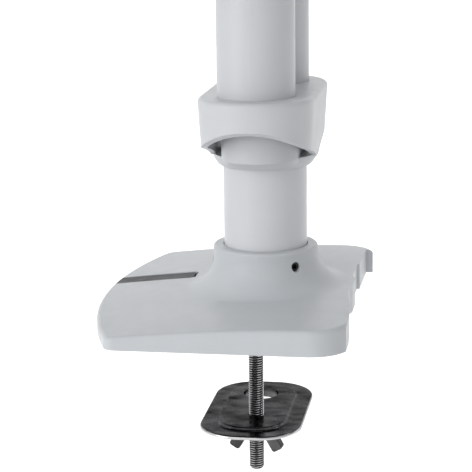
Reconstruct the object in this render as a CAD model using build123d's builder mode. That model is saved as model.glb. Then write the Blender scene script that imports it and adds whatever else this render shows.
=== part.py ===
from build123d import *
from math import atan2, cos, degrees, radians, sin, tan
import os

# Desk-clamped monitor arm: a foot with a short pole, a swivel yoke with two lift columns, and on each
# column a mast that carries two links and a tilting, turning VESA head.
# Millimetres, +Z up.  z = 0 is the desk top under the foot, the pole stands on the Z axis.
# The user sits on the -Y side.  "right" is +X, "left" is -X.

os.makedirs("parts", exist_ok=True)

# ---- driving dimensions ---------------------------------------------------------------------------
FIT = 0.05                 # radial running fit between a pin and its bore

# foot
FOOT_HALF_W = 88.0         # half width along X
FOOT_REAR_Y = 49.6         # straight rear edge
FOOT_TIP_Y = -83.4         # curved edge on the user's side, a little fuller on the left
FOOT_TIP_X = -8.0
FOOT_LEFT_Y = -68.0        # where the curved edge meets the sides
FOOT_RIGHT_Y = -63.8
FOOT_TIP_Z = 4.8           # thickness at the tip
FOOT_Z = 13.8              # thickness at the rear, on the middle line
CROWN_DROP = 1.6           # the top falls this much from the middle line to the sides
BOSS_R = 26.4              # rim of the pole socket
BOSS_Z = 33.0
BOSS_BLEND = 17.0          # fillet between the boss and the top
POLE_SEAT_Z = 6.0          # floor of the pole socket
SLOT_X = -21.0             # cable channel in the top of the foot
SLOT_W = 14.0
SLOT_END_Y = -39.5
SLOT_FLOOR_Z = 3.4
SCREW_ANGLES = (41.0, 161.0, 281.0)
SCREW_Z = 25.6
SCREW_R = 2.5
PAD_T = 1.6

# pole
POLE_R = 21.0
POLE_WALL = 3.0
POLE_TOP_Z = 76.5

# clamp under the desk
ROD_Y = -5.6
ROD_R = 4.0
ROD_END_Z = -88.0
PLATE_TOP_Z = -60.2        # flange of the clamp plate
PLATE_X = -14.0            # middle of the clamp plate
PLATE_Y = -7.0
PLATE_L = 92.0
PLATE_W = 52.6
PLATE_CORNER_R = 22.0
PLATE_T = 1.6
PANEL_RISE = 1.6           # the pressed middle panel stands this far above the flange
PLATE_HOLE = (-34.0, -8.0)
PLATE_HOLE_R = 9.5
COLLAR_DEPTH = 3.6         # the collar round that hole reaches this far below the flange's top
NUT_Z = PLATE_TOP_Z - PLATE_T + PANEL_RISE
NUT_H = 8.0
WING_X = 8.3               # middle of each wing, from the thread's axis
WING_DROP = 10.4
WING_TILT = 60.0           # degrees below horizontal
WING_TURN = 8.0            # the nut stands turned this far from the Y axis

# yoke
YOKE_TOP_Z = 112.0
YOKE_R = 28.4              # end radius at the top
YOKE_WALL = 3.0
DRAFT = 3.4                # degrees, the skirt narrows downward
DECK_Z = 103.0             # underside of the deck between the sockets
SKIRT_Z = 78.8             # lowest edge of the skirt, in the middle of each side
CUP_R = 26.0               # round cup above the pole
CUP_Z = 80.0
CORE_X = 16.0              # the core inside the skirt is an oblong of this half spacing
CORE_R = 19.2
YOKE_LIP_Z = 74.0
LIP_R = POLE_R + 1.3
COLUMN_X = 28.5            # the two lift columns stand at +-COLUMN_X
SOCKET_Z = 98.0            # floor of the column sockets
SOCKET_FLOOR = 1.8
BUSH_R = 9.0
BUSH_FLANGE = 1.5

# lift columns and masts
COLUMN_R = 18.9
COLUMN_BORE = 17.0
COLUMN_TOP_Z = 340.0
MAST_R = 14.5
MAST_BORE = 12.5
MAST_BOTTOM_Z = 112.0
MAST_TOP_Z = 352.0
STRUT_R = 9.0
STRUT_Z = 107.0
STRUT_TOP_Z = 248.0

# arms
POST_R = 8.0
LINK_Z = 373.5             # underside of the first link
LINK_H = 27.0
LINK_L = 200.0
ELBOW_PIN_R = 7.0
FOREARM_Z = LINK_Z + LINK_H + 1.5
FOREARM_H = 24.0
FOREARM_L = 180.0
HEAD_POST_R = 6.0
HEAD_Y = -FOREARM_L        # the head swivels about this line
TILT_Y = HEAD_Y - 46.0     # tilt axle
HEAD_Z = 383.0             # height of the tilt axle and the middle of the VESA plate
PLATE_BACK_Y = TILT_Y - 29.3
PLATE_SHEET = 3.0
VESA_SIDE = 116.0


def stadium(half_spacing, r):
    """Oblong outline along X: two arcs of radius r, half_spacing either side of the middle."""
    SlotCenterToCenter(2 * half_spacing, 2 * r)


def tube(r_out, r_in, z0, z1, at=(0, 0)):
    """Add a round tube, or a disc where r_in is 0, between two heights."""
    with BuildSketch(Plane.XY.offset(z0)) as ring:
        with Locations(at):
            Circle(r_out)
            if r_in:
                Circle(r_in, mode=Mode.SUBTRACT)
    extrude(ring.sketch, amount=z1 - z0)


def bore(r, z0, z1, at=(0, 0)):
    """Cut a round hole between two heights."""
    with BuildSketch(Plane.XY.offset(z0)) as disc:
        with Locations(at):
            Circle(r)
    extrude(disc.sketch, amount=z1 - z0, mode=Mode.SUBTRACT)


def save(builder, name):
    builder.part.label = name
    export_step(builder.part, f"parts/{name}.step")


# ---- foot -----------------------------------------------------------------------------------------
with BuildSketch() as foot_outline:
    with BuildLine():
        Polyline((-FOOT_HALF_W, FOOT_LEFT_Y), (-FOOT_HALF_W, FOOT_REAR_Y), (FOOT_HALF_W, FOOT_REAR_Y),
                 (FOOT_HALF_W, FOOT_RIGHT_Y))
        ThreePointArc((FOOT_HALF_W, FOOT_RIGHT_Y), (FOOT_TIP_X, FOOT_TIP_Y), (-FOOT_HALF_W, FOOT_LEFT_Y))
    make_face()
    fillet(foot_outline.vertices().sort_by(Axis.Y)[:2], 6)
    fillet(foot_outline.vertices().sort_by(Axis.Y)[-2:], 19)


def crown_profile(x, drop):
    """Side profile of the foot's top, lowered by drop, as a face on the plane at x."""
    front, rear = FOOT_TIP_Y - 4, FOOT_REAR_Y + 6
    with BuildSketch(Plane.YZ.offset(x)) as profile:
        with BuildLine() as outline:
            crown = Spline((front, FOOT_TIP_Z - drop), (-40, 10.0 - drop), (0, 13.0 - drop),
                           (26, FOOT_Z - drop), (rear, FOOT_Z - drop), tangents=[(1, 0.12), (1, 0)])
            Polyline(crown @ 1, (rear, -3), (front, -3), crown @ 0)
        make_face(outline.edges())
    return profile.sketch


with BuildPart() as foot:
    # crowned top, a little lower along both sides
    profiles = [crown_profile(x, drop) for x, drop in
                ((-FOOT_HALF_W - 2, CROWN_DROP), (0, 0), (FOOT_HALF_W + 2, CROWN_DROP))]
    loft(profiles)
    with BuildSketch():
        add(foot_outline.sketch)
    extrude(amount=BOSS_Z, mode=Mode.INTERSECT)
    fillet(foot.faces().sort_by(Axis.Z)[-1].edges(), 2.0)
    # boss that holds the pole, blended into the top
    with BuildSketch(Plane.XZ):
        with BuildLine():
            Polyline((0, PAD_T + 2), (BOSS_R + 1.4, PAD_T + 2), (BOSS_R, BOSS_Z), (0, BOSS_Z), (0, PAD_T + 2))
        make_face()
    revolve(axis=Axis.Z)
    boss_foot = [e for e in foot.edges() if 50 < e.bounding_box().size.X < 58
                 and 8 < e.bounding_box().min.Z and e.bounding_box().max.Z < 16]
    fillet(boss_foot, BOSS_BLEND)
    fillet(foot.edges().group_by(Axis.Z)[-1], 1.4)
    # pole socket, with a lead-in at the rim
    with Locations((0, 0, BOSS_Z)):
        CounterBoreHole(POLE_R + FIT, POLE_R + 0.5, 1.2, BOSS_Z - POLE_SEAT_Z)
    # bolt hole through the floor
    with Locations((0, ROD_Y, POLE_SEAT_Z)):
        Hole(ROD_R + 0.3, POLE_SEAT_Z)
    # threaded holes for the set screws, with no thread cut
    for angle in SCREW_ANGLES:
        out = Plane(origin=(0, 0, SCREW_Z), z_dir=(cos(radians(angle)), sin(radians(angle)), 0))
        with BuildSketch(out.offset(POLE_R - 1)):
            Circle(SCREW_R)
        extrude(amount=20, mode=Mode.SUBTRACT)
    # cable channel, open at the tip
    with BuildSketch(Plane.XY.offset(SLOT_FLOOR_Z)):
        with Locations((SLOT_X, (FOOT_TIP_Y - 10 + SLOT_END_Y) / 2)):
            RectangleRounded(SLOT_W, SLOT_END_Y - FOOT_TIP_Y + 10, 3)
    extrude(amount=FOOT_Z, mode=Mode.SUBTRACT)
    # recess in the rear edge for the edge clamp, with a step and a small locating bump
    with BuildSketch():
        with BuildLine():
            Polyline((-74.5, 52), (-74.5, 45.2), (-38, 44.6), (-37.5, 43.2), (-12, 43.2), (-6, 45.0),
                     (8, 45.0), (13, 43.8), (24, 44.2), (50, 47.2), (62, 48.1), (90, 48.1), (90, 52),
                     (-74.5, 52))
        make_face()
    extrude(amount=FOOT_Z + 2, mode=Mode.SUBTRACT)
    # shallow recess for the rubber pad
    with BuildSketch():
        with Locations((0, -14)):
            RectangleRounded(140, 100, 14)
        with Locations((0, ROD_Y)):
            Circle(9, mode=Mode.SUBTRACT)
    extrude(amount=PAD_T, mode=Mode.SUBTRACT)
save(foot, "foot_casting")

with BuildPart() as foot_pad:
    with BuildSketch():
        with Locations((0, -14)):
            RectangleRounded(139.4, 99.4, 13.7)
        with Locations((0, ROD_Y)):
            Circle(9.3, mode=Mode.SUBTRACT)
    extrude(amount=PAD_T)
save(foot_pad, "foot_pad")

# cover strip, just under the surface of the foot, with a finger gap at its inner end
with BuildPart() as channel_strip:
    extrude(crown_profile(SLOT_X - SLOT_W / 2 + 0.45, 0.5), amount=SLOT_W - 0.6)
    strip_end_y = SLOT_END_Y - 1.6
    with BuildSketch(Plane.XY.offset(SLOT_FLOOR_Z)):
        with Locations((SLOT_X, (FOOT_TIP_Y - 10 + strip_end_y) / 2)):
            RectangleRounded(SLOT_W, strip_end_y - FOOT_TIP_Y + 10, 2.6)
    extrude(amount=FOOT_Z, mode=Mode.INTERSECT)
    with BuildSketch():
        add(foot_outline.sketch)
        offset(amount=-0.6)
    extrude(amount=FOOT_Z, mode=Mode.INTERSECT)
save(channel_strip, "channel_strip")

# ---- pole and what is in it -------------------------------------------------------------------------
with BuildPart() as pole:
    tube(POLE_R, POLE_R - POLE_WALL, POLE_SEAT_Z, POLE_TOP_Z)
    fillet(pole.faces().sort_by(Axis.Z)[-1].edges(), 0.6)
save(pole, "pole")

PLUG_Z = 58.0
PIN_R = 7.0
PIN_TOP_Z = 103.0
GROOVE_Z = 98.4           # groove for the retaining ring
with BuildPart() as swivel_pin:
    # plug pressed into the pole, in one piece with the pin
    tube(POLE_R - POLE_WALL, 0, PLUG_Z, POLE_TOP_Z)
    chamfer(swivel_pin.edges().group_by(Axis.Z)[0], 1.5)
    tube(PIN_R, 0, POLE_TOP_Z, PIN_TOP_Z)
    with BuildSketch(Plane.XY.offset(GROOVE_Z)):
        Circle(PIN_R + 1)
        Circle(PIN_R - 0.6, mode=Mode.SUBTRACT)
    extrude(amount=1.2, mode=Mode.SUBTRACT)
    with BuildSketch(Plane.XY.offset(PIN_TOP_Z)):
        RegularPolygon(3, 6)
    extrude(amount=-5, mode=Mode.SUBTRACT)
save(swivel_pin, "swivel_pin")

with BuildPart() as retaining_ring:
    with BuildSketch(Plane.XY.offset(GROOVE_Z + 0.05)):
        Circle(8.6)
        Circle(PIN_R - 0.6, mode=Mode.SUBTRACT)
        with Locations((0, -8)):
            Rectangle(4, 6, mode=Mode.SUBTRACT)
    extrude(amount=1.1)
save(retaining_ring, "retaining_ring")

with BuildPart() as set_screws:
    for angle in SCREW_ANGLES:
        out = Plane(origin=(0, 0, SCREW_Z), z_dir=(cos(radians(angle)), sin(radians(angle)), 0))
        with BuildSketch(out.offset(POLE_R)):
            Circle(SCREW_R - FIT)
        extrude(amount=5)
        with BuildSketch(out.offset(POLE_R + 5)):
            RegularPolygon(1.5, 6)
        extrude(amount=-2.5, mode=Mode.SUBTRACT)
save(set_screws, "pole_set_screws")

# ---- clamp ------------------------------------------------------------------------------------------
with BuildPart() as clamp_bolt:
    tube(ROD_R, 0, ROD_END_Z, POLE_SEAT_Z, (0, ROD_Y))
    with BuildSketch(Plane.XY.offset(POLE_SEAT_Z)):
        with Locations((0, ROD_Y)):
            RegularPolygon(6.5, 6, major_radius=False)
    extrude(amount=5.3)
    chamfer(clamp_bolt.edges().group_by(Axis.Z)[0], 1.0)
save(clamp_bolt, "clamp_bolt")

with BuildPart() as clamp_plate:
    with BuildSketch(Plane.XY.offset(PLATE_TOP_Z - PLATE_T)):
        with Locations((PLATE_X, PLATE_Y)):
            RectangleRounded(PLATE_L, PLATE_W, PLATE_CORNER_R)
    extrude(amount=PLATE_T)
    fillet(clamp_plate.faces().sort_by(Axis.Z)[-1].edges(), 1.0)
    # pressed middle panel
    with BuildSketch(Plane.XY.offset(PLATE_TOP_Z)):
        with Locations((PLATE_X, PLATE_Y)):
            RectangleRounded(PLATE_L - 18, PLATE_W - 16, PLATE_CORNER_R - 6)
    extrude(amount=PANEL_RISE, taper=35)
    flange_level = (PLATE_TOP_Z - 0.01, PLATE_TOP_Z + 0.01)
    panel_foot = [e for e in clamp_plate.edges().filter_by_position(Axis.Z, *flange_level)
                  if abs(e.center().Y - PLATE_Y) < PLATE_W / 2 - 4]
    fillet(panel_foot, 1.5)
    fillet(clamp_plate.edges().group_by(Axis.Z)[-1], 1.2)
    with BuildSketch(Plane.XY.offset(PLATE_TOP_Z - PLATE_T)):
        with Locations((PLATE_X, PLATE_Y)):
            RectangleRounded(PLATE_L - 20, PLATE_W - 18, PLATE_CORNER_R - 7)
    extrude(amount=PANEL_RISE, taper=35, mode=Mode.SUBTRACT)
    # rod hole and the larger hole beside it, with a collar drawn down from the panel
    tube(PLATE_HOLE_R + 1.5, 0, PLATE_TOP_Z - COLLAR_DEPTH, PLATE_TOP_Z + 0.2, PLATE_HOLE)
    bore(ROD_R + 0.4, PLATE_TOP_Z - 5, PLATE_TOP_Z + 5, (0, ROD_Y))
    bore(PLATE_HOLE_R, PLATE_TOP_Z - 5, PLATE_TOP_Z + 5, PLATE_HOLE)
save(clamp_plate, "clamp_plate")

with BuildPart() as wing_nut:
    with BuildSketch(Plane.XZ.offset(-ROD_Y)):
        with BuildLine():
            Polyline((0, NUT_Z), (7.2, NUT_Z), (6.4, NUT_Z - NUT_H), (0, NUT_Z - NUT_H), (0, NUT_Z))
        make_face()
    revolve(axis=Axis((0, ROD_Y, 0), (0, 0, 1)))
    # two thick wings that flare outward and steeply down
    across = Vector(sin(radians(WING_TURN)), cos(radians(WING_TURN)), 0)
    wings = Plane(origin=(0, ROD_Y, NUT_Z), x_dir=across, z_dir=across.cross(Vector(0, 0, 1)))
    with BuildSketch(wings):
        for side in (1, -1):
            with Locations((side * WING_X, -WING_DROP)):
                RectangleRounded(15, 6, 1.4, rotation=-side * WING_TILT)
    extrude(amount=2.6, both=True)
    wing_tips = [e for e in wing_nut.edges() if e.center().Z < NUT_Z - WING_DROP - 4.5]
    fillet(wing_tips, 0.7)
    with Locations((0, ROD_Y, NUT_Z)):
        Hole(ROD_R + FIT, NUT_H + 8)
save(wing_nut, "wing_nut")

# ---- swivel yoke ------------------------------------------------------------------------------------
# domed core that joins the cup to the deck
with BuildPart() as yoke_core:
    with BuildSketch(Plane.XY.offset(CUP_Z - 0.5)):
        stadium(CORE_X, CORE_R)
    extrude(amount=DECK_Z - CUP_Z + 1)
    fillet(yoke_core.faces().sort_by(Axis.Z)[-1].edges(), 15)

with BuildPart() as yoke:
    # oblong skirt
    with BuildSketch(Plane.XY.offset(YOKE_TOP_Z)):
        stadium(COLUMN_X, YOKE_R)
    extrude(amount=-(YOKE_TOP_Z - SKIRT_Z), taper=DRAFT)
    fillet(yoke.faces().sort_by(Axis.Z)[-1].edges(), 2.4)
    with BuildSketch(Plane.XY.offset(DECK_Z)):
        stadium(COLUMN_X, YOKE_R - (YOKE_TOP_Z - DECK_Z) * tan(radians(DRAFT)) - YOKE_WALL)
    extrude(amount=-(DECK_Z - SKIRT_Z + 2), taper=DRAFT, mode=Mode.SUBTRACT)
    # its lower edge rises to an arch at each end
    for side in (1, -1):
        with BuildSketch(Plane.XZ):
            with BuildLine():
                arch = Spline((side * 4, SKIRT_Z - 0.4), (side * 22.7, 84.6), (side * 40, 89.4),
                              (side * 50.8, 95.0), (side * 56.5, 98.2), (side * 62, 99.4))
                Polyline(arch @ 1, (side * 62, SKIRT_Z - 5), (side * 4, SKIRT_Z - 5), arch @ 0)
            make_face()
        extrude(amount=YOKE_R + 5, both=True, mode=Mode.SUBTRACT)
    # round cup that turns in to the lip on the pole
    with BuildSketch(Plane.XZ):
        with BuildLine():
            cup_side = Spline((CUP_R, CUP_Z), (CUP_R - 1.1, 76.6), (LIP_R, YOKE_LIP_Z),
                              tangents=[(0, -1), (-1, -0.35)])
            Polyline(cup_side @ 1, (0, YOKE_LIP_Z), (0, CUP_Z), cup_side @ 0)
        make_face()
    revolve(axis=Axis.Z)
    # the core's lower part leans in to the lip
    for z, half_spacing, r in ((CUP_Z, CORE_X, CORE_R), (YOKE_LIP_Z + 0.6, 0.8, LIP_R - 0.4)):
        with BuildSketch(Plane.XY.offset(z)):
            stadium(half_spacing, r)
    loft()
    add(yoke_core.part)
    # column sockets
    for side in (1, -1):
        tube(COLUMN_R + 2.4, 0, SOCKET_Z - SOCKET_FLOOR, YOKE_TOP_Z - 5, (side * COLUMN_X, 0))
        bore(COLUMN_R + FIT, SOCKET_Z, YOKE_TOP_Z, (side * COLUMN_X, 0))
    # the pole and the swivel bush
    bore(POLE_R + 0.35, YOKE_LIP_Z, POLE_TOP_Z + BUSH_FLANGE)
    bore(BUSH_R, YOKE_LIP_Z, YOKE_TOP_Z)
save(yoke, "yoke_casting")

# flanged bush: the flange carries the yoke on the end of the pole
with BuildPart() as swivel_bush:
    tube(POLE_R - 0.4, PIN_R + FIT, POLE_TOP_Z, POLE_TOP_Z + BUSH_FLANGE)
    tube(BUSH_R, PIN_R + FIT, POLE_TOP_Z + BUSH_FLANGE, GROOVE_Z - 0.1)
save(swivel_bush, "swivel_bush")

with BuildPart() as yoke_cap:
    tube(BUSH_R, 0, YOKE_TOP_Z - 3, YOKE_TOP_Z - 0.4)
    fillet(yoke_cap.edges().group_by(Axis.Z)[-1], 0.6)
save(yoke_cap, "yoke_cap")


# ---- one lift column with its mast, two links and a head ------------------------------------------------
def lift_column(x, name):
    with BuildPart() as column:
        tube(COLUMN_R, COLUMN_BORE, SOCKET_Z, COLUMN_TOP_Z, (x, 0))
    save(column, f"lift_column_{name}")


COLUMN_PLACES = [(COLUMN_X, 0), (-COLUMN_X, 0)]

with BuildPart() as strut_anchors:
    for at in COLUMN_PLACES:
        tube(COLUMN_BORE, 0, SOCKET_Z, SOCKET_Z + 6, at)
        tube(5.0, 0, SOCKET_Z + 6, STRUT_Z, at)
save(strut_anchors, "strut_anchors")

with BuildPart() as strut_cylinders:
    for at in COLUMN_PLACES:
        tube(STRUT_R, STRUT_R - 1.4, STRUT_Z, STRUT_TOP_Z, at)
        tube(STRUT_R, 0, STRUT_Z, STRUT_Z + 4, at)
        tube(STRUT_R, 4 + FIT, STRUT_TOP_Z - 8, STRUT_TOP_Z, at)
save(strut_cylinders, "strut_cylinders")

with BuildPart() as column_guides:
    for at in COLUMN_PLACES:
        tube(COLUMN_BORE, MAST_R + FIT, COLUMN_TOP_Z - 18, COLUMN_TOP_Z, at)
        tube(COLUMN_R, MAST_R + FIT, COLUMN_TOP_Z, COLUMN_TOP_Z + 5, at)
    guide_rims = column_guides.edges().group_by(Axis.Z)[-1].filter_by(lambda e: e.radius > MAST_R + 1)
    fillet(guide_rims, 1.5)
save(column_guides, "column_guides")


def mast(x, name):
    with BuildPart() as mast_tube:
        tube(MAST_R, MAST_BORE, MAST_BOTTOM_Z, MAST_TOP_Z, (x, 0))
    save(mast_tube, f"mast_{name}")

    with BuildPart() as shoe:
        tube(COLUMN_BORE - FIT, MAST_R, MAST_BOTTOM_Z, MAST_BOTTOM_Z + 14, (x, 0))
    save(shoe, f"mast_shoe_{name}")

    with BuildPart() as rod:
        tube(STRUT_R - 1.4 - FIT, 0, 112, 118, (x, 0))
        tube(4.0, 0, 118, MAST_TOP_Z, (x, 0))
    save(rod, f"strut_rod_{name}")

    with BuildPart() as head:
        tube(COLUMN_R, 0, COLUMN_TOP_Z + 7, LINK_Z - 1.5, (x, 0))
        fillet(head.edges().group_by(Axis.Z)[0], 2)
        tube(POST_R, 0, LINK_Z - 1.5, LINK_Z + LINK_H - 6, (x, 0))
        bore(MAST_R, COLUMN_TOP_Z + 7, MAST_TOP_Z, (x, 0))
        bore(3, LINK_Z + LINK_H - 20, LINK_Z + LINK_H - 6, (x, 0))
    save(head, f"mast_head_{name}")

    with BuildPart() as screw:
        tube(3.0, 0, LINK_Z + LINK_H - 19, LINK_Z + LINK_H - 6, (x, 0))
        tube(11.0, 0, LINK_Z + LINK_H - 6, LINK_Z + LINK_H - 4.4, (x, 0))
        tube(5.0, 0, LINK_Z + LINK_H - 4.4, LINK_Z + LINK_H - 1.6, (x, 0))
        with BuildSketch(Plane.XY.offset(LINK_Z + LINK_H - 1.6)):
            with Locations((x, 0)):
                RegularPolygon(2.6, 6)
        extrude(amount=-2.4, mode=Mode.SUBTRACT)
    save(screw, f"shoulder_screw_{name}")


def beam(x0, y0, x1, y1, r0, r1):
    """Outline of a tapered link between two hubs, on the current sketch plane."""
    length = ((x1 - x0) ** 2 + (y1 - y0) ** 2) ** 0.5
    turn = degrees(atan2(y1 - y0, x1 - x0))
    lean = degrees(atan2(r0 - r1, length))
    tangent_0 = [(x0 + r0 * cos(radians(turn + s * (90 - lean))), y0 + r0 * sin(radians(turn + s * (90 - lean))))
                 for s in (1, -1)]
    tangent_1 = [(x1 + r1 * cos(radians(turn + s * (90 - lean))), y1 + r1 * sin(radians(turn + s * (90 - lean))))
                 for s in (1, -1)]
    back = (x0 - r0 * cos(radians(turn)), y0 - r0 * sin(radians(turn)))
    front = (x1 + r1 * cos(radians(turn)), y1 + r1 * sin(radians(turn)))
    with BuildLine() as outline:
        ThreePointArc(tangent_0[0], back, tangent_0[1])
        Line(tangent_0[1], tangent_1[1])
        ThreePointArc(tangent_1[1], front, tangent_1[0])
        Line(tangent_1[0], tangent_0[0])
    make_face(outline.edges())


def first_link(x, side, name):
    elbow_x = x + side * LINK_L
    top = LINK_Z + LINK_H
    with BuildPart() as link:
        with BuildSketch(Plane.XY.offset(LINK_Z)):
            beam(x, 0, elbow_x, 0, 21, 18)
        extrude(amount=LINK_H)
        fillet(link.faces().sort_by(Axis.Z)[-1].edges(), 3)
        fillet(link.faces().sort_by(Axis.Z)[0].edges(), 1.2)
        bore(POST_R + 1.5, LINK_Z, top, (x, 0))
        bore(14, top - 6, top, (x, 0))
        bore(ELBOW_PIN_R, LINK_Z + 5, top, (elbow_x, 0))
        # cable channel along the underside
        with BuildSketch(Plane.XY.offset(LINK_Z)):
            with Locations(((x + elbow_x) / 2, 0)):
                SlotOverall(LINK_L - 56, 15)
        extrude(amount=14, mode=Mode.SUBTRACT)
    save(link, f"arm_{name}")

    with BuildPart() as bush:
        tube(POST_R + 1.5, POST_R + FIT, LINK_Z, top - 6, (x, 0))
        tube(18, POST_R + FIT, LINK_Z - 1.5, LINK_Z, (x, 0))
    save(bush, f"shoulder_bush_{name}")

    with BuildPart() as cap:
        tube(13.9, 0, top - 1.5, top + 0.9, (x, 0))
        fillet(cap.edges().group_by(Axis.Z)[-1], 0.8)
    save(cap, f"shoulder_cap_{name}")

    with BuildPart() as cover:
        with BuildSketch(Plane.XY.offset(LINK_Z)):
            with Locations(((x + elbow_x) / 2, 0)):
                SlotOverall(LINK_L - 56.4, 14.6)
                SlotOverall(LINK_L - 82, 4, mode=Mode.SUBTRACT)
        extrude(amount=2)
    save(cover, f"arm_cable_cover_{name}")

    with BuildPart() as pin:
        tube(ELBOW_PIN_R, 0, LINK_Z + 5, FOREARM_Z + FOREARM_H - 6, (elbow_x, 0))
        chamfer(pin.edges().group_by(Axis.Z)[-1], 0.8)
    save(pin, f"elbow_pin_{name}")


def forearm(x, name):
    top = FOREARM_Z + FOREARM_H
    with BuildPart() as link:
        with BuildSketch(Plane.XY.offset(FOREARM_Z)):
            beam(x, 0, x, HEAD_Y, 18, 15)
        extrude(amount=FOREARM_H)
        fillet(link.faces().sort_by(Axis.Z)[-1].edges(), 3)
        fillet(link.faces().sort_by(Axis.Z)[0].edges(), 1.2)
        bore(ELBOW_PIN_R + 1.5, FOREARM_Z, top, (x, 0))
        bore(13, top - 6, top, (x, 0))
        bore(HEAD_POST_R, FOREARM_Z, top, (x, HEAD_Y))
        with BuildSketch(Plane.XY.offset(FOREARM_Z)):
            with Locations((x, HEAD_Y / 2)):
                SlotOverall(FOREARM_L - 56, 13, rotation=90)
        extrude(amount=12, mode=Mode.SUBTRACT)
    save(link, f"forearm_{name}")

    with BuildPart() as bush:
        tube(ELBOW_PIN_R + 1.5, ELBOW_PIN_R + FIT, FOREARM_Z, top - 6, (x, 0))
        tube(16, ELBOW_PIN_R + FIT, FOREARM_Z - 1.5, FOREARM_Z, (x, 0))
    save(bush, f"elbow_bush_{name}")

    with BuildPart() as cap:
        tube(12.9, 0, top - 5, top + 1.4, (x, 0))
        fillet(cap.edges().group_by(Axis.Z)[-1], 1.2)
    save(cap, f"elbow_cap_{name}")

    with BuildPart() as cover:
        with BuildSketch(Plane.XY.offset(FOREARM_Z)):
            with Locations((x, HEAD_Y / 2)):
                SlotOverall(FOREARM_L - 56.4, 12.6, rotation=90)
                SlotOverall(FOREARM_L - 82, 4, rotation=90, mode=Mode.SUBTRACT)
        extrude(amount=2)
    save(cover, f"forearm_cable_cover_{name}")

    with BuildPart() as post:
        tube(HEAD_POST_R, 0, HEAD_Z - 17, top, (x, HEAD_Y))
        tube(10, 0, top, top + 2.2, (x, HEAD_Y))
        tube(HEAD_POST_R + 3, 0, HEAD_Z - 19.5, HEAD_Z - 17, (x, HEAD_Y))
        fillet(post.edges().group_by(Axis.Z)[-1], 1)
    save(post, f"head_post_{name}")


def vesa_head(x, name):
    with BuildPart() as bracket:
        tube(14, 0, HEAD_Z - 17, FOREARM_Z, (x, HEAD_Y))
        with BuildSketch(Plane.XY.offset(HEAD_Z - 11)):
            with Locations((x, (HEAD_Y + TILT_Y) / 2)):
                Rectangle(12, HEAD_Y - TILT_Y)
        extrude(amount=22)
        with BuildSketch(Plane.YZ.offset(x - 6)):
            with Locations((TILT_Y, HEAD_Z)):
                Circle(11)
        extrude(amount=12)
        bore(HEAD_POST_R + FIT, HEAD_Z - 18, FOREARM_Z, (x, HEAD_Y))
        with BuildSketch(Plane.YZ.offset(x - 10)):
            with Locations((TILT_Y, HEAD_Z)):
                Circle(4 + FIT)
        extrude(amount=20, mode=Mode.SUBTRACT)
    save(bracket, f"head_bracket_{name}")

    with BuildPart() as clevis:
        for side in (1, -1):
            with BuildSketch(Plane.YZ.offset(x + side * 6.3)):
                with Locations((TILT_Y, HEAD_Z)):
                    Circle(11)
                with Locations((TILT_Y - 10, HEAD_Z)):
                    Rectangle(20, 22)
            extrude(amount=side * 6)
        with BuildSketch(Plane.XZ.offset(-TILT_Y + 13)):
            with Locations((x, HEAD_Z)):
                RectangleRounded(24.6, 30, 5)
        extrude(amount=11)
        with BuildSketch(Plane.XZ.offset(-TILT_Y + 24)):
            with Locations((x, HEAD_Z)):
                Circle(17)
        extrude(amount=5)
        with BuildSketch(Plane.XZ.offset(-TILT_Y + 29)):
            with Locations((x, HEAD_Z)):
                Circle(11)
        extrude(amount=2)
        with BuildSketch(Plane.YZ.offset(x - 20)):
            with Locations((TILT_Y, HEAD_Z)):
                Circle(4)
        extrude(amount=40, mode=Mode.SUBTRACT)
    save(clevis, f"tilt_clevis_{name}")

    with BuildPart() as axle:
        with BuildSketch(Plane.YZ.offset(x - 12.3)):
            with Locations((TILT_Y, HEAD_Z)):
                Circle(4)
        extrude(amount=24.6)
        for side in (1, -1):
            with BuildSketch(Plane.YZ.offset(x + side * 12.3)):
                with Locations((TILT_Y, HEAD_Z)):
                    Circle(7)
            extrude(amount=side * 4)
        for side in (1, -1):
            with BuildSketch(Plane.YZ.offset(x + side * 16.3)):
                with Locations((TILT_Y, HEAD_Z)):
                    RegularPolygon(3.4, 6)
            extrude(amount=-side * 2.5, mode=Mode.SUBTRACT)
    save(axle, f"tilt_axle_{name}")

    with BuildPart() as plate:
        with BuildSketch(Plane.XZ.offset(-PLATE_BACK_Y)):
            with Locations((x, HEAD_Z)):
                RectangleRounded(VESA_SIDE, VESA_SIDE, 8)
                Circle(11 + FIT, mode=Mode.SUBTRACT)
                with GridLocations(100, 100, 2, 2):
                    Circle(2.25, mode=Mode.SUBTRACT)
                with GridLocations(75, 75, 2, 2):
                    Circle(2.25, mode=Mode.SUBTRACT)
                for turn in (0, 90, 180, 270):
                    with PolarLocations(38, 1, start_angle=turn):
                        SlotOverall(30, 16, rotation=90, mode=Mode.SUBTRACT)
        extrude(amount=PLATE_SHEET)
        with BuildSketch(Plane.XZ.offset(-PLATE_BACK_Y + PLATE_SHEET)):
            with Locations((x, HEAD_Z)):
                Circle(15.5)
        extrude(amount=-1.5, mode=Mode.SUBTRACT)
    save(plate, f"vesa_plate_{name}")

    with BuildPart() as keeper:
        with BuildSketch(Plane.XZ.offset(-TILT_Y + 31)):
            with Locations((x, HEAD_Z)):
                Circle(15)
        extrude(amount=1.2)
    save(keeper, f"plate_keeper_{name}")


for side, name in ((1, "right"), (-1, "left")):
    column_x = side * COLUMN_X
    lift_column(column_x, name)
    mast(column_x, name)
    first_link(column_x, side, name)
    forearm(column_x + side * LINK_L, name)
    vesa_head(column_x + side * LINK_L, name)
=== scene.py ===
import math

import bmesh
import bpy
from mathutils import Matrix, Vector


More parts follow.
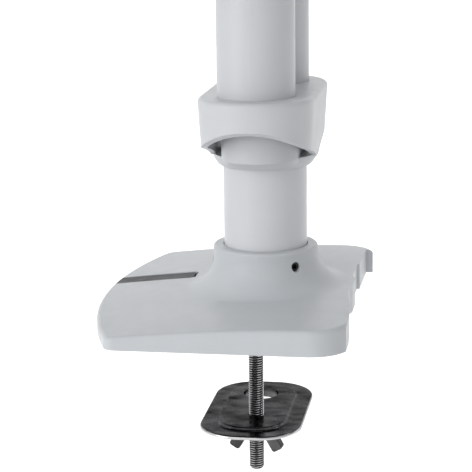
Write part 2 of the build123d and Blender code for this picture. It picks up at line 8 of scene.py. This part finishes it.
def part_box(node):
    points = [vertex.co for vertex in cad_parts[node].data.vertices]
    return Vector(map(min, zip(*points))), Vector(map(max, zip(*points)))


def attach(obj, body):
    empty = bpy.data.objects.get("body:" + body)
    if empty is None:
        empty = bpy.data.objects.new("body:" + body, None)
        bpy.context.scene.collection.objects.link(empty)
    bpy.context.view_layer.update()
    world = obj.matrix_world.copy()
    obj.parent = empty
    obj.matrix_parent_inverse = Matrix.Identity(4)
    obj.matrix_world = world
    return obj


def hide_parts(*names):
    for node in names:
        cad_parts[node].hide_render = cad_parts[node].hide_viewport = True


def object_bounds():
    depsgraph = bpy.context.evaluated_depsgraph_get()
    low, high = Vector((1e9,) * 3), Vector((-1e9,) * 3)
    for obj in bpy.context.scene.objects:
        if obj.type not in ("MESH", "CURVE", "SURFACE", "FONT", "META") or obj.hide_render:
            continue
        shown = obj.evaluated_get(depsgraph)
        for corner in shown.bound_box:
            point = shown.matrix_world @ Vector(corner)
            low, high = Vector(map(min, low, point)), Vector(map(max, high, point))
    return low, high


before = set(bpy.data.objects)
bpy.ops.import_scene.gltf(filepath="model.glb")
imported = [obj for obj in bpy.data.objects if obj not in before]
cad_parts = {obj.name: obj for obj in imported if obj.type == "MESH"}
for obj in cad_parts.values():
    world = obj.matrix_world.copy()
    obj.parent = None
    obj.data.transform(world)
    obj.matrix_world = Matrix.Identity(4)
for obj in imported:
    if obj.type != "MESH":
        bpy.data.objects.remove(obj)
cad_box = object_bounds()

MM = 0.001
SIDES = ("right", "left")

bolt_low, bolt_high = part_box("clamp_bolt")
bolt_middle = (bolt_low + bolt_high) / 2
plate_low, plate_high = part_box("clamp_plate")
plate_middle = (plate_low + plate_high) / 2
strip_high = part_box("channel_strip")[1]

# ---- camera ---------------------------------------------------------------------------------------
SENSOR_WIDTH = 36.0                  # millimetres
LENS = 125.85                        # millimetres, a long lens
AIM = Vector((0.0022, -0.0149, 0.0365))
DISTANCE = 0.8374
AZIMUTH = 99.2
ELEVATION = 12.87
ROLL = -0.7


def make_camera():
    data = bpy.data.cameras.new("camera")
    data.sensor_width = SENSOR_WIDTH
    data.lens = LENS
    data.clip_start = 0.05
    data.clip_end = 50
    camera = bpy.data.objects.new("camera", data)
    bpy.context.scene.collection.objects.link(camera)
    a, e, turn = (math.radians(angle) for angle in (AZIMUTH, ELEVATION, ROLL))
    back = Vector((math.sin(a) * math.cos(e), -math.cos(a) * math.cos(e), math.sin(e)))
    level = Vector((math.cos(a), math.sin(a), 0))
    upright = back.cross(level)
    right = level * math.cos(turn) + upright * math.sin(turn)
    up = upright * math.cos(turn) - level * math.sin(turn)
    rotation = Matrix((right, up, back)).transposed().to_4x4()
    camera.matrix_world = Matrix.Translation(AIM + back * DISTANCE) @ rotation
    bpy.context.scene.camera = camera


# ---- materials ------------------------------------------------------------------------------------
MATERIALS = {}                       # by name, filled by Nodes.finish


class Nodes:
    """Short way to build one node material on object coordinates, in metres."""

    def __init__(self, name):
        self.name = name
        self.material = bpy.data.materials.new(name)
        self.material.use_nodes = True
        self.tree = self.material.node_tree
        self.shader = self.tree.nodes["Principled BSDF"]
        self.place = self.tree.nodes.new("ShaderNodeTexCoord").outputs["Object"]

    def add(self, kind, **values):
        node = self.tree.nodes.new(kind)
        for key, value in values.items():
            setattr(node, key, value)
        return node

    def link(self, a, b):
        self.tree.links.new(a, b)

    def set(self, **values):
        """Constants of the shader, by the socket's name in small letters."""
        for key, value in values.items():
            self.shader.inputs[key.replace("_", " ").title().replace("Ior", "IOR")].default_value = value

    def noise(self, scale, detail=3.0, stretch=None):
        node = self.add("ShaderNodeTexNoise")
        node.inputs["Scale"].default_value = scale
        node.inputs["Detail"].default_value = detail
        source = self.place
        if stretch:
            mapping = self.add("ShaderNodeMapping")
            mapping.inputs["Scale"].default_value = stretch
            self.link(source, mapping.inputs["Vector"])
            source = mapping.outputs["Vector"]
        self.link(source, node.inputs["Vector"])
        return node.outputs["Fac"]

    def ramp(self, value, start, end, low=0.0, high=1.0):
        """Map start..end to low..high, held at both ends."""
        node = self.add("ShaderNodeMapRange")
        for key, number in (("From Min", start), ("From Max", end), ("To Min", low), ("To Max", high)):
            node.inputs[key].default_value = number
        self.link(value, node.inputs["Value"])
        return node.outputs["Result"]

    def spread(self, fac, low=0.0, high=1.0):
        """Stretch a noise pattern to a range of values."""
        return self.ramp(fac, 0.3, 0.7, low, high)

    def mix(self, fac, a, b):
        """Blend two colours, each a constant or a socket."""
        node = self.add("ShaderNodeMix", data_type="RGBA")
        self.link(fac, node.inputs["Factor"])
        for name, value in (("A", a), ("B", b)):
            if isinstance(value, tuple):
                node.inputs[name].default_value = (*value, 1)
            else:
                self.link(value, node.inputs[name])
        return node.outputs["Result"]

    def bump(self, height, strength, distance, under=None):
        node = self.add("ShaderNodeBump")
        node.inputs["Strength"].default_value = strength
        node.inputs["Distance"].default_value = distance
        self.link(height, node.inputs["Height"])
        if under:
            self.link(under, node.inputs["Normal"])
        return node.outputs["Normal"]

    def along(self, vector, axis):
        """One of the X, Y and Z parts of a vector."""
        node = self.add("ShaderNodeSeparateXYZ")
        self.link(vector, node.inputs[0])
        return node.outputs[axis]

    def compute(self, operation, *values):
        node = self.add("ShaderNodeMath", operation=operation)
        for value, socket in zip(values, node.inputs):
            self.link(value, socket)
        return node.outputs["Value"]

    def axis_distance(self, axis):
        """Distance from the upright line through the point axis."""
        offset = self.add("ShaderNodeVectorMath", operation="SUBTRACT")
        offset.inputs[1].default_value = (axis.x, axis.y, 0)
        flat = self.add("ShaderNodeVectorMath", operation="MULTIPLY")
        flat.inputs[1].default_value = (1, 1, 0)
        length = self.add("ShaderNodeVectorMath", operation="LENGTH")
        self.link(self.place, offset.inputs[0])
        self.link(offset.outputs["Vector"], flat.inputs[0])
        self.link(flat.outputs["Vector"], length.inputs[0])
        return length.outputs["Value"]

    def finish(self, color, roughness=None, normal=None):
        for socket, value in (("Base Color", color), ("Roughness", roughness), ("Normal", normal)):
            if value is not None:
                self.link(value, self.shader.inputs[socket])
        MATERIALS[self.name] = self.material


def shade(color, k):
    return tuple(min(1.0, c * k) for c in color)


def grey(value):
    return (value, value, value, 1)


def coat(name, color, peel=0.25, roughness=(0.34, 0.44), grain=900.0, gloss=0.3):
    """Sprayed or powder coat: faint orange peel, a little mottling, slow drift of tone."""
    n = Nodes(name)
    tone = n.spread(n.noise(26.0, 2.0))
    color_out = n.mix(tone, shade(color, 0.975), shade(color, 1.02))
    rough = n.spread(n.noise(140.0, 4.0), *roughness)
    fine = n.bump(n.noise(grain, 2.0), peel, 0.12 * MM)
    normal = n.bump(n.noise(grain * 0.22, 1.0), peel * 0.6, 0.25 * MM, fine)
    n.set(specular_ior_level=gloss)
    n.finish(color_out, rough, normal)


def steel(name, color, roughness, brush, depth=0.10, edge=1.0, uneven=0.1):
    """Metal with fine drawn or pressed lines along the axes where brush is small.
    edge below 1 keeps a dark finish dark where it is seen at a low angle."""
    n = Nodes(name)
    lines = n.noise(240.0, 4.0, brush)
    cloud = n.spread(n.noise(45.0))
    color_out = n.mix(cloud, shade(color, 1 - uneven), shade(color, 1 + uneven))
    rough = n.spread(n.noise(160.0, 5.0), *roughness)
    n.set(metallic=1.0, specular_tint=grey(edge))
    n.finish(color_out, rough, n.bump(lines, depth, 0.08 * MM))


def plate_steel(name, color, roughness, rim_top, hole, collar_r):
    """Dark mottled plating, with a painted highlight on the sheet's cut edge: upright faces below rim_top,
    but not in the collar of the hole."""
    n = Nodes(name)
    stain = n.spread(n.noise(130.0, 6.0, (1, 0.5, 1)))
    dark = n.mix(stain, shade(color, 0.30), shade(color, 1.7))
    facing = n.compute("ABSOLUTE", n.along(n.add("ShaderNodeNewGeometry").outputs["True Normal"], "Z"))
    upright = n.ramp(facing, 0.95, 0.5, 0.0, 0.85)
    below = n.ramp(n.along(n.place, "Z"), rim_top - 0.1 * MM, rim_top + 0.1 * MM, 1.0, 0.12)
    outside = n.ramp(n.axis_distance(hole), collar_r, collar_r + 1 * MM, 0.08, 1.0)
    # painted highlight: light colour on the upright cut edge, outside the hole's collar
    edge_highlight = n.compute("MULTIPLY", n.compute("MULTIPLY", upright, below), outside)
    rough = n.spread(n.noise(220.0, 5.0), *roughness)
    dents = n.bump(n.noise(90.0, 4.0, (1, 0.3, 1)), 0.35, 0.3 * MM)
    n.set(metallic=1.0, specular_tint=grey(0.4))
    n.finish(n.mix(edge_highlight, dark, (0.75, 0.75, 0.76)), rough, dents)


def thread_steel(name, axis, crest, root):
    """Plated steel, bright on the thread crests and painted black as shade in the roots."""
    n = Nodes(name)
    # painted shade: colour goes from black at the thread root to bright at the crest
    color = n.mix(n.ramp(n.axis_distance(axis), root, crest), (0.012, 0.012, 0.013), (0.70, 0.70, 0.71))
    rough = n.spread(n.noise(300.0, 4.0), 0.14, 0.26)
    n.set(metallic=1.0, specular_tint=grey(0.6))
    n.finish(color, rough)


def strip_steel(name, color, near_edge, shadow_width):
    """Satin strip with a black line of painted shadow this wide along its near edge, for the shaded gap
    beside it.
    """
    n = Nodes(name)
    across = n.along(n.place, "X")
    border = (near_edge - shadow_width, near_edge - shadow_width + 0.2 * MM)
    # painted shadow: black and not metallic near the strip's near edge
    band = n.mix(n.ramp(across, *border), color, (0.02, 0.02, 0.022))
    n.link(n.ramp(across, *border, 1.0, 0.0), n.shader.inputs["Metallic"])
    rough = n.spread(n.noise(160.0, 5.0), 0.42, 0.55)
    n.set(specular_tint=grey(0.6), specular_ior_level=0.2)
    n.finish(band, rough, n.bump(n.noise(240.0, 4.0, (1, 0.05, 1)), 0.12, 0.08 * MM))


def moulded(name, color, roughness=(0.45, 0.58), grain=1400.0, depth=0.35):
    """Moulded plastic or rubber with a spark-eroded grain."""
    n = Nodes(name)
    color_out = n.mix(n.spread(n.noise(60.0, 2.0)), shade(color, 0.93), shade(color, 1.05))
    rough = n.spread(n.noise(300.0), *roughness)
    n.set(specular_ior_level=0.45)
    n.finish(color_out, rough, n.bump(n.noise(grain, 2.0), depth, 0.12 * MM))


WHITE = (0.52, 0.533, 0.553)
TUBE = dict(peel=0.15, roughness=(0.32, 0.40), grain=1100.0)     # a finer spray than on the castings
PLATE_RIM = 1.8 * MM                 # the cut edge starts this far below the plate's raised panel
PLATE_HOLE = Vector((-20, -1, 0)) * MM       # from the middle of the plate
COLLAR_R = 12 * MM
# width of the painted shadow line along the channel strip's near edge
STRIP_SHADOW_WIDTH = 2.4 * MM
THREAD_CREST = 3.9 * MM              # radii where the thread keeps its bright colour and where it is painted black as shade
THREAD_ROOT = 3.4 * MM

coat("foot_paint", (0.50, 0.518, 0.538), peel=0.30, grain=750.0, gloss=0.18)
coat("tube_paint", WHITE, **TUBE)
# a lighter copy of the tube paint: painted light that offsets the shade the yoke and foot cast on the pole
coat("pole_paint_lit", (0.575, 0.588, 0.61), **TUBE)
coat("cast_paint", WHITE, peel=0.32, roughness=(0.36, 0.46), grain=700.0)
coat("black_paint", (0.022, 0.022, 0.024), peel=0.5, roughness=(0.42, 0.55), gloss=0.45)
steel("dark_steel", (0.11, 0.11, 0.112), (0.14, 0.30), (1, 0.12, 1), depth=0.30, edge=0.40, uneven=0.45)
steel("bright_steel", (0.62, 0.63, 0.65), (0.24, 0.32), (1, 1, 0.03), depth=0.03, uneven=0.04)
steel("black_steel", (0.06, 0.06, 0.065), (0.28, 0.42), (1, 1, 1), depth=0.08)
plate_steel("plate_steel", (0.09, 0.09, 0.092), (0.12, 0.34), plate_high.z - PLATE_RIM,
            plate_middle + PLATE_HOLE, COLLAR_R)
thread_steel("thread_steel", bolt_middle, THREAD_CREST, THREAD_ROOT)
strip_steel("strip", (0.15, 0.154, 0.16), strip_high.x, STRIP_SHADOW_WIDTH)
moulded("rubber", (0.025, 0.025, 0.026), (0.65, 0.8))
moulded("bearing", (0.035, 0.035, 0.038))
moulded("grey_plastic", (0.55, 0.56, 0.585))


def paint(material, *nodes):
    for name in nodes:
        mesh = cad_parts[name].data
        mesh.materials.clear()
        mesh.materials.append(MATERIALS[material])


def both(*stems):
    return [f"{stem}_{side}" for stem in stems for side in SIDES]


paint("foot_paint", "foot_casting")
paint("tube_paint", *both("lift_column"))
paint("pole_paint_lit", "pole")
paint("cast_paint", "yoke_casting", *both("arm", "forearm", "mast_head", "head_bracket"))
paint("black_paint", *both("vesa_plate", "tilt_clevis"))
paint("dark_steel", "clamp_bolt", "wing_nut")
paint("plate_steel", "clamp_plate")
paint("bright_steel", *both("mast", "strut_rod"))
paint("black_steel", "pole_set_screws", "swivel_pin", "retaining_ring", "strut_cylinders",
      *both("shoulder_screw", "tilt_axle", "elbow_pin", "head_post", "plate_keeper"))
paint("strip", "channel_strip")
paint("rubber", "foot_pad")
paint("bearing", "swivel_bush", "column_guides", "strut_anchors",
      *both("mast_shoe", "shoulder_bush", "elbow_bush"))
paint("grey_plastic", "yoke_cap",
      *both("shoulder_cap", "elbow_cap", "arm_cable_cover", "forearm_cable_cover"))


# ---- the clamp rod with its real thread -----------------------------------------------------------
ROD_R = 4.0 * MM
PITCH = 1.25 * MM
THREAD_DEPTH = 0.70 * MM
THREAD_PROFILE = (0.0, 0.30, 1.0, 1.0, 0.30)     # share of that depth cut away, over one pitch
ROUND_STEPS = 32
END_CHAMFER = 1.0 * MM
HEAD_ACROSS = 13 * MM
HEAD_HEIGHT = 5.3 * MM
HEAD_BEVEL = 0.6 * MM


def ring(axis, z, radii):
    """Points round an upright axis, one for each radius."""
    turns = [2 * math.pi * j / len(radii) for j in range(len(radii))]
    return [(axis.x + r * math.cos(turn), axis.y + r * math.sin(turn), z) for r, turn in zip(radii, turns)]


def skin(bm, rings):
    """Faces from ring to ring, closed at both ends."""
    loops = [[bm.verts.new(point) for point in points] for points in rings]
    count = len(loops[0])
    for a, b in zip(loops, loops[1:]):
        for j in range(count):
            bm.faces.new((a[j], a[(j + 1) % count], b[(j + 1) % count], b[j]))
    bm.faces.new(list(reversed(loops[0])))
    bm.faces.new(loops[-1])


def thread_cut(row, share):
    """Share of the thread's depth cut away at a row, a share of a turn round the rod."""
    count = len(THREAD_PROFILE)
    at = (row - count * share) % count
    k = int(at)
    start, end = THREAD_PROFILE[k], THREAD_PROFILE[(k + 1) % count]
    return start + (end - start) * (at - k)


def new_piece(name, bm, material):
    mesh = bpy.data.meshes.new(name)
    bm.normal_update()
    bm.to_mesh(mesh)
    bm.free()
    mesh.materials.append(MATERIALS[material])
    piece = bpy.data.objects.new(name, mesh)
    bpy.context.scene.collection.objects.link(piece)
    return piece


def make_rod():
    """Helical thread up to the head's seat, with a chamfered end, and a hexagon head on top."""
    seat = bolt_high.z - HEAD_HEIGHT
    length = seat - bolt_low.z
    rows = int(length / PITCH * len(THREAD_PROFILE))
    rings = []
    for row in range(rows + 1):
        up = length * row / rows
        chamfered = ROD_R - max(0.0, END_CHAMFER - up)
        radii = [min(ROD_R - THREAD_DEPTH * thread_cut(row, j / ROUND_STEPS), chamfered)
                 for j in range(ROUND_STEPS)]
        rings.append(ring(bolt_middle, bolt_low.z + up, radii))
    corner = HEAD_ACROSS / 2 / math.cos(math.pi / 6)
    head = ((0, corner), (HEAD_HEIGHT - HEAD_BEVEL, corner), (HEAD_HEIGHT, 0.9 * corner))
    bm = bmesh.new()
    skin(bm, rings)
    skin(bm, [ring(bolt_middle, seat + up, [radius] * 6) for up, radius in head])
    rod = new_piece("clamp_bolt_threaded", bm, "thread_steel")
    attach(rod, "foot")
    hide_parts("clamp_bolt")


make_rod()


# ---- stage and light ------------------------------------------------------------------------------
FLOOR_DROP = 0.22                    # metres below the object
FLOOR_FRONT = 9.0
FLOOR_BACK = -3.2
FLOOR_SIDE = 9.0
SWEEP_R = 0.8
SWEEP_STEPS = 8
BACKDROP_TOP = 3.5


def make_stage():
    """A pale floor that sweeps up into a backdrop on the far side."""
    floor_z = cad_box[0][2] - FLOOR_DROP
    outline = [(FLOOR_FRONT, floor_z), (FLOOR_BACK, floor_z)]
    for step in range(1, SWEEP_STEPS + 1):
        bend = math.pi / 2 * step / SWEEP_STEPS
        outline.append((FLOOR_BACK - SWEEP_R * math.sin(bend), floor_z + SWEEP_R * (1 - math.cos(bend))))
    outline.append((FLOOR_BACK - SWEEP_R, BACKDROP_TOP))
    bm = bmesh.new()
    rows = [[bm.verts.new((x, y, z)) for y in (-FLOOR_SIDE, FLOOR_SIDE)] for x, z in outline]
    for a, b in zip(rows, rows[1:]):
        bm.faces.new((a[0], a[1], b[1], b[0])).smooth = True
    n = Nodes("floor_white")
    n.set(roughness=0.9, specular_ior_level=0.1, emission_color=(1, 1, 1, 1), emission_strength=0.22)
    n.finish(n.mix(n.spread(n.noise(3.0, 2.0)), (0.90, 0.90, 0.90), (0.92, 0.92, 0.92)))
    new_piece("floor", bm, "floor_white")


def area_light(name, place, aim, size, power):
    data = bpy.data.lights.new(name, "AREA")
    data.shape = "RECTANGLE"
    data.size, data.size_y = size
    data.energy = power
    light = bpy.data.objects.new(name, data)
    light.location = place
    light.rotation_euler = (Vector(aim) - Vector(place)).to_track_quat("-Z", "Y").to_euler()
    bpy.context.scene.collection.objects.link(light)


SKY_LEVEL = 0.62
SKY_SLANT = (0.40, -0.14, -0.32)     # brighter towards +X and a little -Y, dimmer overhead


def make_light():
    world = bpy.data.worlds.new("studio")
    bpy.context.scene.world = world
    world.use_nodes = True
    tree = world.node_tree
    background = tree.nodes["Background"]
    background.inputs["Color"].default_value = (1, 1, 1, 1)
    direction = tree.nodes.new("ShaderNodeTexCoord").outputs["Generated"]
    slant = tree.nodes.new("ShaderNodeVectorMath")
    slant.operation = "DOT_PRODUCT"
    slant.inputs[1].default_value = SKY_SLANT
    level = tree.nodes.new("ShaderNodeMath")
    level.operation = "ADD"
    level.inputs[1].default_value = SKY_LEVEL
    tree.links.new(direction, slant.inputs[0])
    tree.links.new(slant.outputs["Value"], level.inputs[0])
    tree.links.new(level.outputs["Value"], background.inputs["Strength"])
    area_light("key", place=(1.3, -1.5, 0.45), aim=(0, 0, 0.1), size=(1.2, 1.2), power=13)
    area_light("front", place=(1.5, -0.5, 1.7), aim=(0, 0, 0.05), size=(1.5, 1.5), power=10)
    area_light("backdrop", place=(-0.8, 0, 1.6), aim=(-2.6, 0, 0.3), size=(3.0, 1.5), power=50)


make_stage()
make_light()
make_camera()
bpy.context.scene.view_settings.view_transform = "Standard"
